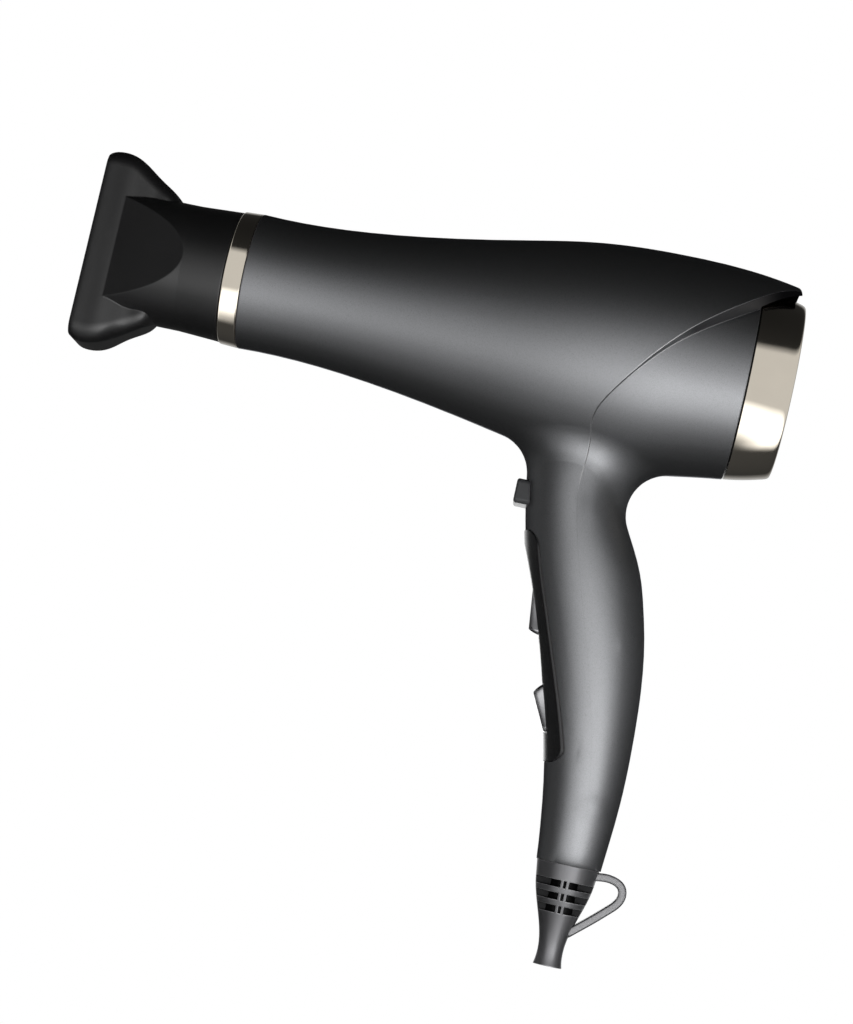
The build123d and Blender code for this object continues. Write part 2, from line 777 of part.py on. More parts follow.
# Heater: mica tube, crossed boards with notches, and the ribbon wound round them
with BuildPart() as mica_tube:
    rod(heater_front, heater_back, mica_tube_radius)
    rod(heater_front - overrun, heater_back + overrun, mica_tube_radius - mica_wall, mode=Mode.SUBTRACT)
mica_tube.part.label = "mica_tube"
export_step(mica_tube.part, "parts/mica_tube.step")

tab_half_height = mica_tube_radius - mica_wall - tab_gap
ribbon_radius = board_half_height - notch_depth + fit_gap + ribbon_thickness / 2
ribbon_start = heater_front + tab_length + ribbon_lead
ribbon_path = Helix(
    ribbon_pitch, ribbon_pitch * ribbon_turns, ribbon_radius, (ribbon_start, 0, axis_height), (1, 0, 0),
)
start_point = ribbon_path @ 0
start_turn = degrees(atan2(start_point.Z - axis_height, start_point.Y))


def notch_stations(turn):
    lead = (turn - start_turn + 1) % 360 - 1
    first = ribbon_start + lead / 360 * ribbon_pitch
    last = ribbon_start + ribbon_turns * ribbon_pitch + ribbon_width
    laps = [first + lap * ribbon_pitch for lap in range(ribbon_turns + 1)]
    return [station for station in laps if station < last]


def board(part_turn, slot_start, slot_end, low_turn, high_turn):
    with BuildPart() as sheet:
        with Locations((heater_front, 0, 0)):
            Box(mica_length, board_thickness, 2 * board_half_height, align=from_front)
            Box(tab_length, board_thickness, 2 * tab_half_height, align=from_front)
        with Locations((heater_back - tab_length, 0, 0)):
            Box(tab_length, board_thickness, 2 * tab_half_height, align=from_front)
        with Locations(((slot_start + slot_end) / 2, 0, 0)):
            slot_width = board_thickness + 2 * fit_gap
            Box(slot_end - slot_start, 2 * board_thickness, slot_width, mode=Mode.SUBTRACT)
        for edge, turn in ((-board_half_height, low_turn), (board_half_height, high_turn)):
            for station in notch_stations(turn):
                with Locations((station, 0, edge)):
                    Box(ribbon_width + 2 * run_gap, 2 * board_thickness, 2 * notch_depth, mode=Mode.SUBTRACT)
    return sheet.part.rotate(Axis.X, part_turn).moved(Location((0, 0, axis_height)))


heater_middle = (heater_front + heater_back) / 2
with BuildPart() as mica_board_upright:
    add(board(0, heater_middle, heater_back + overrun, 270, 90))
mica_board_upright.part.label = "mica_board_upright"
export_step(mica_board_upright.part, "parts/mica_board_upright.step")

with BuildPart() as mica_board_level:
    add(board(90, heater_front - overrun, heater_middle, 0, 180))
mica_board_level.part.label = "mica_board_level"
export_step(mica_board_level.part, "parts/mica_board_level.step")

with BuildPart() as heater_ribbon:
    with BuildLine():
        add(ribbon_path)
    with BuildSketch(Plane(origin=ribbon_path @ 0, x_dir=(1, 0, 0), z_dir=ribbon_path % 0)):
        Rectangle(ribbon_width, ribbon_thickness)
    sweep(is_frenet=True)
heater_ribbon.part.label = "heater_ribbon"
export_step(heater_ribbon.part, "parts/heater_ribbon.step")

with BuildPart() as thermostat:
    thermostat_x = heater_back - thermostat_setback
    with Locations((thermostat_x, board_thickness / 2 + fit_gap, axis_height + thermostat_offset)):
        Box(*thermostat_size, align=(Align.CENTER, Align.MIN, Align.CENTER))
thermostat.part.label = "thermostat"
export_step(thermostat.part, "parts/thermostat.step")

with BuildPart() as thermal_fuse:
    fuse_y = -board_thickness / 2 - fit_gap - fuse_radius
    with Locations((heater_back - fuse_setback, fuse_y, axis_height - fuse_offset)):
        Cylinder(fuse_radius, fuse_length, rotation=front_to_back, align=from_start)
thermal_fuse.part.label = "thermal_fuse"
export_step(thermal_fuse.part, "parts/thermal_fuse.step")

# Switch panel with the cages that hold the switches and rockers
pivot = (0, -pivot_depth)
ear_inside = rocker_width / 2 + ear_gap
ear_outside = ear_inside + ear_thickness

with BuildPart() as switch_bezel:
    add(grip_solid(bezel_proud))
    add(grip_solid(-bezel_thickness), mode=Mode.SUBTRACT)
    add(panel_block(fit_gap), mode=Mode.INTERSECT)
    with BuildSketch(Plane.XZ):
        with BuildLine():
            ThreePointArc(dish_start, dish_low, dish_end)
            Polyline(dish_end, (-beyond, dish_bottom), (-beyond, dish_top), dish_start)
        make_face()
    extrude(amount=beyond, both=True, mode=Mode.SUBTRACT)
    for place in (heat_plane, speed_plane):
        with BuildSketch(place.offset(-ear_outside)):
            with Locations((0, -cage_drop)):
                Rectangle(2 * cage_half_length, cage_depth - cage_drop, align=(Align.CENTER, Align.MAX))
        extrude(amount=2 * ear_outside)
        with BuildSketch(place.offset(-ear_inside)):
            with Locations((0, -bezel_thickness)):
                Rectangle(3 * cage_half_length, 2 * cage_depth, align=(Align.CENTER, Align.MAX))
        extrude(amount=2 * ear_inside, mode=Mode.SUBTRACT)
        with BuildSketch(place.offset(-rocker_width / 2 - run_gap)):
            with Locations(pivot):
                Circle(rocker_radius + run_gap)
        extrude(amount=rocker_width + 2 * run_gap, mode=Mode.SUBTRACT)
        with BuildSketch(place):
            with Locations(pivot):
                Circle(trunnion_radius + shaft_gap)
        extrude(amount=ear_outside, both=True, mode=Mode.SUBTRACT)
switch_bezel.part.label = "switch_bezel"
export_step(switch_bezel.part, "parts/switch_bezel.step")


def rocker_solid(place, tilt):
    lean = (sin(radians(tilt)), cos(radians(tilt)))
    with BuildPart() as body:
        with BuildSketch(place):
            with Locations(pivot):
                Circle(rocker_radius)
            for distance, side in ((rocker_face, Align.MIN), (-rocker_underside, Align.MAX)):
                with Locations(Location((lean[0] * distance, lean[1] * distance - pivot_depth), -tilt)):
                    Rectangle(beyond, beyond, align=(Align.CENTER, side), mode=Mode.SUBTRACT)
        extrude(amount=rocker_width / 2, both=True)
        outside = place.x_dir * lean[0] + place.y_dir * lean[1]
        thumb_face = body.faces().sort_by(lambda face: face.center().dot(outside))[-1]
        fillet(thumb_face.edges(), rocker_round)
        with BuildSketch(place):
            with Locations(pivot):
                Circle(trunnion_radius)
        extrude(amount=rocker_width / 2 + trunnion_length, both=True)
    return body.part


with BuildPart() as heat_rocker:
    add(rocker_solid(heat_plane, rocker_tilt))
heat_rocker.part.label = "heat_rocker"
export_step(heat_rocker.part, "parts/heat_rocker.step")

with BuildPart() as speed_rocker:
    add(rocker_solid(speed_plane, -rocker_tilt))
speed_rocker.part.label = "speed_rocker"
export_step(speed_rocker.part, "parts/speed_rocker.step")


def switch_solid(place):
    with BuildPart() as body:
        with BuildSketch(place):
            with Locations((0, -switch_top)):
                Rectangle(2 * switch_half_length, cage_depth - switch_top, align=(Align.CENTER, Align.MAX))
        extrude(amount=ear_inside - fit_gap, both=True)
        with BuildSketch(place):
            with Locations((0, -switch_top)):
                Rectangle(2 * plunger_radius, 2 * plunger_rise)
            for along in (-terminal_pitch, 0, terminal_pitch):
                with Locations((along, -cage_depth)):
                    Rectangle(terminal_thickness, 2 * terminal_length)
        extrude(amount=plunger_radius, both=True)
    return body.part


with BuildPart() as heat_switch:
    add(switch_solid(heat_plane))
heat_switch.part.label = "heat_switch"
export_step(heat_switch.part, "parts/heat_switch.step")

with BuildPart() as speed_switch:
    add(switch_solid(speed_plane))
speed_switch.part.label = "speed_switch"
export_step(speed_switch.part, "parts/speed_switch.step")

# Cool-shot button, its spring and its switch
with BuildPart() as cool_shot_button:
    with BuildSketch(Plane.YZ.offset(button_front)):
        with Locations((0, button_height)):
            RectangleRounded(button_wide, button_tall, button_corner)
    extrude(amount=button_stem)
    fillet(cool_shot_button.faces().sort_by(Axis.X)[0].edges(), button_round)
    with BuildSketch(Plane.YZ.offset(button_back - button_flange)):
        with Locations((0, button_height)):
            RectangleRounded(
                button_wide + 2 * button_flange_rise, button_tall + 2 * button_flange_rise, button_corner,
            )
    extrude(amount=button_flange)
cool_shot_button.part.label = "cool_shot_button"
export_step(cool_shot_button.part, "parts/cool_shot_button.step")

spring_start = button_back + spring_wire / 2 + fit_gap
spring_rise = spring_length - spring_wire - 2 * fit_gap
spring_path = Helix(
    spring_rise / spring_turns, spring_rise, spring_radius, (spring_start, 0, button_height), (1, 0, 0),
)
with BuildPart() as cool_shot_spring:
    with BuildLine():
        add(spring_path)
    with BuildSketch(Plane(origin=spring_path @ 0, x_dir=(1, 0, 0), z_dir=spring_path % 0)):
        Rectangle(spring_wire, spring_wire)
    sweep(is_frenet=True)
cool_shot_spring.part.label = "cool_shot_spring"
export_step(cool_shot_spring.part, "parts/cool_shot_spring.step")

with BuildPart() as cool_shot_switch:
    with Locations((cool_switch_front, 0, button_height)):
        Box(cool_switch_depth, cool_switch_wide, cool_switch_tall, align=from_front)
        Cylinder(
            spring_radius - spring_wire - run_gap, cool_plunger, rotation=front_to_back,
            align=(Align.CENTER, Align.CENTER, Align.MAX),
        )
cool_shot_switch.part.label = "cool_shot_switch"
export_step(cool_shot_switch.part, "parts/cool_shot_switch.step")

# Hanging loop, a flat band whose ends sit in the cord guard
with BuildPart() as hanging_loop:
    with BuildSketch(Plane.XZ):
        with BuildLine():
            loop_line = Spline(*loop_points, tangents=((1, 0.05), (-1, -0.86)))
        trace(line_width=loop_thickness)
    extrude(amount=loop_width / 2, both=True)
    with Locations((guard_x, 0, loop_points[-1][1])):
        Cylinder(cord_bore_radius + loop_inset, beyond, mode=Mode.SUBTRACT)
hanging_loop.part.label = "hanging_loop"
export_step(hanging_loop.part, "parts/hanging_loop.step")

# Cord guard with rows of slots round an open cord bore
guard_top = handle_end - fit_gap
guard_bottom = guard_top - guard_length
with BuildPart() as guard_slots:
    for row in range(slot_rows):
        slot_z = guard_top - slot_first - row * slot_spacing
        with Locations((guard_x, 0, slot_z)):
            Cylinder(guard_collar_radius + overrun, slot_height)
            Cylinder(slot_core_radius, slot_height, mode=Mode.SUBTRACT)
            Box(beyond, slot_side_web, slot_height, mode=Mode.SUBTRACT)
        for shift in (-1, 1):
            with Locations((guard_x + shift * (slot_post_gap + slot_post_width) / 2, 0, slot_z)):
                Box(slot_post_width, beyond, slot_height, mode=Mode.SUBTRACT)

with BuildPart() as cord_guard:
    with BuildSketch(Plane.XZ):
        with BuildLine():
            flank = Spline(
                (guard_x + guard_shoulder_radius, guard_top - guard_collar_length),
                (guard_x + guard_waist_radius, guard_top - guard_waist_drop),
                (guard_x + guard_neck_radius, guard_top - guard_neck_drop),
                (guard_x + guard_tail_radius, guard_bottom),
            )
            Polyline(
                flank @ 1, (guard_x, guard_bottom), (guard_x, guard_top),
                (guard_x + guard_collar_radius, guard_top), flank @ 0,
            )
        make_face()
    guard_axis = Axis((guard_x, 0, 0), (0, 0, 1))
    revolve(axis=guard_axis)
    add(guard_slots.part, mode=Mode.SUBTRACT)
    stem_top = handle_end + handle_floor + fit_gap
    with Locations((guard_x, 0, guard_top)):
        Cylinder(guard_stem_radius, stem_top - guard_top + guard_flange, align=from_start)
    with Locations((guard_x, 0, stem_top)):
        Cylinder(guard_flange_radius, guard_flange, align=from_start)
    with Locations((guard_x, 0, guard_bottom - overrun)):
        Cylinder(cord_bore_radius, beyond, align=from_start, mode=Mode.SUBTRACT)
    add(hanging_loop.part, mode=Mode.SUBTRACT)
cord_guard.part.label = "cord_guard"
export_step(cord_guard.part, "parts/cord_guard.step")

# Connector under the duct and the switch wires that run up to it
connector_top = axis_height - duct_outer_radius - fit_gap
connector_bottom = connector_top - connector_size[2]
with BuildPart() as wire_connector:
    with Locations((connector_x, 0, connector_top)):
        Box(*connector_size, align=(Align.CENTER, Align.CENTER, Align.MAX))
wire_connector.part.label = "wire_connector"
export_step(wire_connector.part, "parts/wire_connector.step")

wire_foot = -cage_depth - terminal_length - wire_radius
heat_terminal = heat_plane.from_local_coords((0, wire_foot, 0))
speed_terminal = speed_plane.from_local_coords((0, wire_foot, 0))
wire_runs = ((heat_terminal, heat_wire_bend, -wire_side), (speed_terminal, speed_wire_bend, wire_side))
with BuildPart() as switch_wires:
    for start, bend, side in wire_runs:
        with BuildLine():
            lead = FilletPolyline(
                (start.X, side, start.Z), (bend[0], side, bend[1]), (wire_gather[0], side, wire_gather[1]),
                (connector_x, side, connector_bottom - connector_lead),
                (connector_x, side, connector_bottom - fit_gap),
                radius=wire_bend,
            )
        with BuildSketch(Plane(origin=lead @ 0, z_dir=lead % 0)):
            Circle(wire_radius)
        sweep(path=lead)
switch_wires.part.label = "switch_wires"
export_step(switch_wires.part, "parts/switch_wires.step")
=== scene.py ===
from math import cos, pi, radians, sin

import bmesh
import bpy
from mathutils import Matrix, Vector


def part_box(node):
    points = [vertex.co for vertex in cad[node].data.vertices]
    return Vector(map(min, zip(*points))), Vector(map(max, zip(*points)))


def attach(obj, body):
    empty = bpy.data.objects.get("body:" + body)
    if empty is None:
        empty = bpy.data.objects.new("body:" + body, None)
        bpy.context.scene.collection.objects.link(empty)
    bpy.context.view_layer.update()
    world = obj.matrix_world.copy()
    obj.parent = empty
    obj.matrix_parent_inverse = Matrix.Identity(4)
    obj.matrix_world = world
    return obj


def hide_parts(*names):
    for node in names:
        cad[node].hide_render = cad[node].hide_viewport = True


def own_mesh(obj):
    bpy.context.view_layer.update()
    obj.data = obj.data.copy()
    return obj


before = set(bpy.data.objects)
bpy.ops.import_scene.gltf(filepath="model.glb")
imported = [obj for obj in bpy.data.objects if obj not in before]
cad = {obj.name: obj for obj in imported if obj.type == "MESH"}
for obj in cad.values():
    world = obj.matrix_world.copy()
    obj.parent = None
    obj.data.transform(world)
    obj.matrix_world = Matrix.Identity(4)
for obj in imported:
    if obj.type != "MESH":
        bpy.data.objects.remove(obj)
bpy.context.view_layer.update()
scene = bpy.context.scene
scene.view_settings.view_transform = "Standard"
print("frame loaded:", len(cad), "nodes")


# Camera at the photo's angle: a little low, turned and rolled

photoCamera = {
    "place": (-0.01351, -0.93073, -0.06446),
    "yaw": 3.6,
    "pitch": 6.5,
    "roll": 12.452,
    "focalPixels": 2470.0,
    "framePixels": 1024.0,
    "sensor": 36.0,
}


def aimCamera(look):
    yaw, pitch, roll = (radians(look[key]) for key in ("yaw", "pitch", "roll"))
    back = Vector((sin(yaw) * cos(pitch), -cos(yaw) * cos(pitch), -sin(pitch)))
    level = Vector((cos(yaw), sin(yaw), 0))
    upward = level.cross(-back)
    right = level * cos(roll) + upward * sin(roll)
    top = upward * cos(roll) - level * sin(roll)
    data = bpy.data.cameras.new("photoCamera")
    data.sensor_width = look["sensor"]
    data.lens = look["sensor"] * look["focalPixels"] / look["framePixels"]
    camera = bpy.data.objects.new("photoCamera", data)
    turn = Matrix((right, top, back)).transposed().to_4x4()
    camera.matrix_world = Matrix.Translation(look["place"]) @ turn
    scene.collection.objects.link(camera)
    scene.camera = camera


aimCamera(photoCamera)
print("camera set")


# Small helpers for node trees

mixSockets = {"RGBA": (6, 7, 2), "VECTOR": (4, 5, 1)}    # a Mix node's two inputs and its output


def place(tree, value, socket):
    if isinstance(value, bpy.types.NodeSocket):
        tree.links.new(value, socket)
    else:
        socket.default_value = value


def addNode(tree, kind, settings=None, **inputs):
    node = tree.nodes.new(kind)
    for key, value in (settings or {}).items():
        setattr(node, key, value)
    for key, value in inputs.items():
        place(tree, value, node.inputs[key.replace("_", " ")])
    return node


def maths(tree, operation, first, second=0.0, third=0.0):
    node = addNode(tree, "ShaderNodeMath", {"operation": operation})
    for socket, value in zip(node.inputs, (first, second, third)):
        place(tree, value, socket)
    return node.outputs[0]


def product(tree, first, *others):
    for other in others:
        first = maths(tree, "MULTIPLY", first, other)
    return first


def squareSum(tree, first, second):
    return maths(tree, "MULTIPLY_ADD", first, first, product(tree, second, second))


def vectorMaths(tree, operation, *vectors):
    node = addNode(tree, "ShaderNodeVectorMath", {"operation": operation})
    for socket, value in zip(node.inputs, vectors):
        place(tree, value, socket)
    return node.outputs


def axes(tree, vector):
    return addNode(tree, "ShaderNodeSeparateXYZ", Vector=vector).outputs


def joined(tree, **lengths):
    return addNode(tree, "ShaderNodeCombineXYZ", **lengths).outputs[0]


def plainNormal(tree):
    return tree.nodes.new("ShaderNodeNewGeometry").outputs["Normal"]


def mix(tree, factor, first, second, kind="RGBA"):
    node = addNode(tree, "ShaderNodeMix", {"data_type": kind})
    low, high, result = mixSockets[kind]
    for index, value in ((0, factor), (low, first), (high, second)):
        place(tree, value, node.inputs[index])
    return node.outputs[result]


def mixShaders(tree, factor, first, second):
    node = tree.nodes.new("ShaderNodeMixShader")
    for socket, value in zip(node.inputs, (factor, first, second)):
        tree.links.new(value, socket)
    return node.outputs[0]


def spread(tree, value, low, high):
    return addNode(tree, "ShaderNodeMapRange", Value=value, To_Min=low, To_Max=high).outputs[0]


def smoothStep(tree, value, low, high):
    settings = {"interpolation_type": "SMOOTHSTEP"}
    return addNode(tree, "ShaderNodeMapRange", settings, Value=value, From_Min=low, From_Max=high).outputs[0]


def newGroup(name, sockets):
    group = bpy.data.node_groups.new(name, "ShaderNodeTree")
    for label, direction, kind, value in sockets:
        socket = group.interface.new_socket(label, in_out=direction, socket_type="NodeSocket" + kind)
        if value is not None:
            socket.default_value = value
    start = group.nodes.new("NodeGroupInput").outputs
    end = group.nodes.new("NodeGroupOutput").inputs
    return group, start, end


def useGroup(tree, group, **values):
    node = tree.nodes.new("ShaderNodeGroup")
    node.node_tree = group
    for key, value in values.items():
        place(tree, value, node.inputs[key])
    return node.outputs


def newMaterial(name):
    material = bpy.data.materials.new(name)
    material.use_nodes = True
    return material, material.node_tree


# Effects that several finishes share

effects = {
    "pitDetail": 2.0,
    "cloudDetail": 3.0,
    "scuffStretch": (6.0, 1.0, 1.4),
    "scuffDetail": 6.0,
    "scuffMiddle": 0.5,
    "scuffThinness": 60.0,
    "edgeLean": (0.985, 0.9),    # how far the rounded normal leans before an edge shows
    "samples": 8,
}


def makeMouldGrain(look):
    group, start, end = newGroup("mouldGrain", (
        ("position", "INPUT", "Vector", None),
        ("size", "INPUT", "Float", 0.0004),
        ("height", "OUTPUT", "Float", None),
        ("speckle", "OUTPUT", "Float", None),
    ))
    scale = maths(group, "DIVIDE", 1.0, start["size"])
    pits = addNode(group, "ShaderNodeTexNoise", Vector=start["position"], Scale=scale, Detail=look["pitDetail"])
    cells = addNode(group, "ShaderNodeTexVoronoi", Vector=start["position"], Scale=scale)
    group.links.new(pits.outputs[0], end["height"])
    group.links.new(cells.outputs["Distance"], end["speckle"])
    return group


def makeHandling(look):
    group, start, end = newGroup("handlingMarks", (
        ("position", "INPUT", "Vector", None),
        ("size", "INPUT", "Float", 0.03),
        ("cloud", "OUTPUT", "Float", None),
        ("scuff", "OUTPUT", "Float", None),
    ))
    scale = maths(group, "DIVIDE", 1.0, start["size"])
    cloud = addNode(group, "ShaderNodeTexNoise", Vector=start["position"], Scale=scale, Detail=look["cloudDetail"])
    stretched = addNode(group, "ShaderNodeMapping", Vector=start["position"], Scale=look["scuffStretch"])
    lines = addNode(group, "ShaderNodeTexNoise", Vector=stretched.outputs[0], Scale=scale, Detail=look["scuffDetail"])
    ridge = maths(group, "ABSOLUTE", maths(group, "SUBTRACT", lines.outputs[0], look["scuffMiddle"]))
    thin = maths(group, "SUBTRACT", 1.0, product(group, ridge, look["scuffThinness"]))
    group.links.new(cloud.outputs[0], end["cloud"])
    group.links.new(maths(group, "MAXIMUM", thin, 0.0), end["scuff"])
    return group


# edge mask and rounded normal; the finishes use the mask for edge wear, painted highlights and painted shade
def makeEdgeRounding(look):
    group, start, end = newGroup("edgeRounding", (
        ("radius", "INPUT", "Float", 0.0006),
        ("edge", "OUTPUT", "Float", None),
        ("rounded", "OUTPUT", "Vector", None),
    ))
    rounded = addNode(group, "ShaderNodeBevel", {"samples": look["samples"]}, Radius=start["radius"]).outputs[0]
    agree = vectorMaths(group, "DOT_PRODUCT", rounded, plainNormal(group))["Value"]
    group.links.new(smoothStep(group, agree, *look["edgeLean"]), end["edge"])
    group.links.new(rounded, end["rounded"])
    return group


def makeHollowShade(look):
    group, start, end = newGroup("hollowShade", (
        ("reach", "INPUT", "Float", 0.006),
        ("low", "INPUT", "Float", 0.5),
        ("high", "INPUT", "Float", 0.9),
        ("lit", "OUTPUT", "Float", None),
    ))
    settings = {"samples": look["samples"], "only_local": True}
    hollow = addNode(group, "ShaderNodeAmbientOcclusion", settings, Distance=start["reach"])
    group.links.new(smoothStep(group, hollow.outputs["AO"], start["low"], start["high"]), end["lit"])
    return group


mouldGrain = makeMouldGrain(effects)
handlingMarks = makeHandling(effects)
edgeRounding = makeEdgeRounding(effects)
hollowShade = makeHollowShade(effects)


def startFinish(name, **fixed):
    material, tree = newMaterial(name)
    shader = tree.nodes["Principled BSDF"].inputs
    for key, value in fixed.items():
        shader[key.replace("_", " ")].default_value = value
    position = tree.nodes.new("ShaderNodeTexCoord").outputs["Object"]
    return material, tree, shader, position


def addBump(tree, shader, height, depth, strength, rounded=None):
    bump = addNode(tree, "ShaderNodeBump", Height=height, Distance=depth, Strength=strength)
    if rounded:
        tree.links.new(rounded, bump.inputs["Normal"])
    tree.links.new(bump.outputs[0], shader["Normal"])


def toned(colour, share):
    return tuple(channel * share for channel in colour) + (1,)


# Charcoal lacquer of the housing

lacquer = {
    "dark": (0.2, 0.203, 0.21, 1),
    "light": (0.3, 0.305, 0.315, 1),
    # near-black of the seam joint, also used for the painted shade in the crease and at the lip's tip
    "seam": (0.02, 0.02, 0.022, 1),
    "wearAndHighlight": (0.55, 0.55, 0.56, 1),
    "edge": (0.2, 0.2, 0.21, 1),
    "flakeSize": 0.00022,
    "flakeDepth": 0.000012,
    "flakeStrength": 0.5,
    "marksSize": 0.05,
    "smooth": 0.44,
    "rough": 0.48,
    "seamHalfWidth": 0.00012,
    "edgeRadius": 0.0006,
    "seamMargin": (0.0006, 0.0018),
    "fadeRadius": 0.006,
    "gripSpan": (0.07, 0.056),
    "gripSide": (0.0145, 0.0165),
    "footSpan": (-0.005, -0.02),
    "footSide": (0.006, 0.008),
    "footBack": (0.0012, 0.003),
    "wells": ((0.012, -0.054), (0.012, 0.008)),
    "wellRim": (0.0085, 0.0105),
    "lipShade": (0.11, 0.11, 0.114, 1),
    "lipSpan": (-0.1, -0.35),
    "lipAbove": (0.118, 0.124),
    "tipFrom": (0.03, 0.043),
    "hollowReach": 0.006,
    "hollowSpan": (0.5, 0.9),
}


def makeLacquer(look):
    material, tree, shader, position = startFinish("charcoalLacquer", Metallic=1.0, Specular_Tint=look["edge"])
    grain = useGroup(tree, mouldGrain, position=position, size=look["flakeSize"])
    marks = useGroup(tree, handlingMarks, position=position, size=look["marksSize"])
    x, y, z = axes(tree, position)
    aside = maths(tree, "ABSOLUTE", y)
    seam = maths(tree, "LESS_THAN", aside, look["seamHalfWidth"])
    # the crease melts into the grip below the barrel
    grip = product(tree, smoothStep(tree, z, *look["gripSpan"]), smoothStep(tree, aside, *look["gripSide"]))
    foot = product(tree, smoothStep(tree, z, *look["footSpan"]), smoothStep(tree, aside, *look["footSide"]),
                   smoothStep(tree, x, *look["footBack"]))
    fade = maths(tree, "MAXIMUM", grip, foot)
    # the screw wells on the far side keep their rims
    clear = maths(tree, "LESS_THAN", y, 0.0)
    rims = []
    for wellX, wellZ in look["wells"]:
        across = maths(tree, "SUBTRACT", x, wellX)
        along = maths(tree, "SUBTRACT", z, wellZ)
        rims.append(smoothStep(tree, maths(tree, "SQRT", squareSum(tree, across, along)), *look["wellRim"]))
    melted = product(tree, fade, maths(tree, "MAXIMUM", product(tree, *rims), clear))
    edges = useGroup(tree, edgeRounding, radius=spread(tree, melted, look["edgeRadius"], look["fadeRadius"]))
    away = smoothStep(tree, aside, *look["seamMargin"])
    # edge wear and a painted highlight along the crease and the edges
    wearAndHighlightMask = product(tree, edges["edge"], maths(tree, "SUBTRACT", away, fade))
    plain = plainNormal(tree)
    rounded = mix(tree, away, plain, edges["rounded"], "VECTOR")
    flakes = mix(tree, grain["speckle"], look["light"], look["dark"])
    colour = mix(tree, maths(tree, "MAXIMUM", wearAndHighlightMask, 0.0), flakes, look["wearAndHighlight"])
    # painted shade: dark in the crease, under the visor's lip and darkest at its tip
    low, high = look["hollowSpan"]
    lit = useGroup(tree, hollowShade, reach=look["hollowReach"], low=low, high=high)["lit"]
    colour = mix(tree, lit, look["seam"], colour)
    lipShade = product(tree, smoothStep(tree, axes(tree, plain)["Z"], *look["lipSpan"]),
                  smoothStep(tree, z, *look["lipAbove"]))
    shadow = mix(tree, smoothStep(tree, x, *look["tipFrom"]), look["lipShade"], look["seam"])
    colour = mix(tree, lipShade, colour, shadow)
    tree.links.new(mix(tree, seam, colour, look["seam"]), shader["Base Color"])
    tree.links.new(spread(tree, marks["cloud"], look["smooth"], look["rough"]), shader["Roughness"])
    addBump(tree, shader, grain["height"], look["flakeDepth"], look["flakeStrength"], rounded)
    return material


# Black rockers with silver flanks

rocker = {
    "face": (0.01, 0.01, 0.0105, 1),
    "flank": (0.4, 0.4, 0.41, 1),
    "shadow": (0.1, 0.1, 0.103, 1),
    "flankSpan": (0.0056, 0.0058),
    "flankSheen": 0.85,
    "border": 0.0034,
    "lowEnd": -0.0285,
    "apart": 0.0348,    # from one rocker to the next
    "riseSpan": (0.05, 0.5),
    "cloudShare": 0.1,
    "faceRough": 0.24,
    "flankRough": 0.3,
    "grainSize": 0.0004,
    "grainDepth": 0.000006,
    "grainStrength": 0.5,
    "marksSize": 0.006,
}


def makeRocker(look):
    material, tree, shader, position = startFinish("rockerTwoTone")
    x, y, z = axes(tree, position)
    side = smoothStep(tree, maths(tree, "ABSOLUTE", y), *look["flankSpan"])
    edges = useGroup(tree, edgeRounding, radius=look["border"])
    flank = product(tree, side, maths(tree, "SUBTRACT", 1.0, edges["edge"]))
    grain = useGroup(tree, mouldGrain, position=position, size=look["grainSize"])
    marks = useGroup(tree, handlingMarks, position=position, size=look["marksSize"])
    # painted shade: both flanks darken towards their lower ends
    rise = maths(tree, "DIVIDE", maths(tree, "SUBTRACT", z, look["lowEnd"]), look["apart"])
    rise = maths(tree, "MULTIPLY_ADD", marks["cloud"], look["cloudShare"], maths(tree, "FRACT", rise))
    silver = mix(tree, smoothStep(tree, rise, *look["riseSpan"]), look["shadow"], look["flank"])
    tree.links.new(mix(tree, flank, look["face"], silver), shader["Base Color"])
    tree.links.new(product(tree, flank, look["flankSheen"]), shader["Metallic"])
    tree.links.new(spread(tree, flank, look["faceRough"], look["flankRough"]), shader["Roughness"])
    addBump(tree, shader, grain["height"], look["grainDepth"], look["grainStrength"], edges["rounded"])
    return material


# Plastics and rubbers

plasticLook = {
    "marksSize": 0.02,
    "grainStrength": 0.6,
    "hollowSpan": (0.86, 0.998),
    "hollowShadeTone": 0.06,
    "wallTilt": (0.55, 0.75),
    "wallShadeTone": 0.08,
}
plastics = {
    "nozzleBlack": {
        "colour": (0.009, 0.009, 0.0094), "smooth": 0.34, "rough": 0.4, "grainSize": 0.0005, "grainDepth": 0.00002,
        "specular": 0.75, "soften": 0.0008,
    },
    "innerBlack": {
        "colour": (0.02, 0.02, 0.02), "smooth": 0.5, "rough": 0.6, "grainSize": 0.0005, "grainDepth": 0.00003,
    },
    "panelGloss": {
        "colour": (0.01, 0.01, 0.0105), "smooth": 0.22, "rough": 0.3, "grainSize": 0.002, "grainDepth": 0.000004,
        "specular": 0.3, "soften": 0.0008,
    },
    "buttonGrey": {
        "colour": (0.04, 0.041, 0.043), "smooth": 0.3, "rough": 0.4, "grainSize": 0.0005, "grainDepth": 0.00002,
        "specular": 0.25, "soften": 0.0006,
    },
    "guardRubber": {
        "colour": (0.14, 0.14, 0.145), "smooth": 0.32, "rough": 0.4, "grainSize": 0.0004, "grainDepth": 0.00003,
        "soften": 0.0006, "sheen": 0.75, "grazing": 0.3, "rim": (0.4, 0.4, 0.41), "shade": 0.006, "wallShadeAbove": -0.108,
    },
    "loopGrey": {
        "colour": (0.25, 0.25, 0.258), "smooth": 0.4, "rough": 0.5, "grainSize": 0.0004, "grainDepth": 0.00002,
        "contrast": 0.08, "soften": 0.0018, "rim": (0.02, 0.02, 0.022),
    },
    "micaSheet": {
        "colour": (0.6, 0.52, 0.36), "smooth": 0.4, "rough": 0.6, "grainSize": 0.003, "grainDepth": 0.00005,
    },
    "wireSleeve": {
        "colour": (0.3, 0.05, 0.04), "smooth": 0.5, "rough": 0.6, "grainSize": 0.0006, "grainDepth": 0.00003,
    },
}


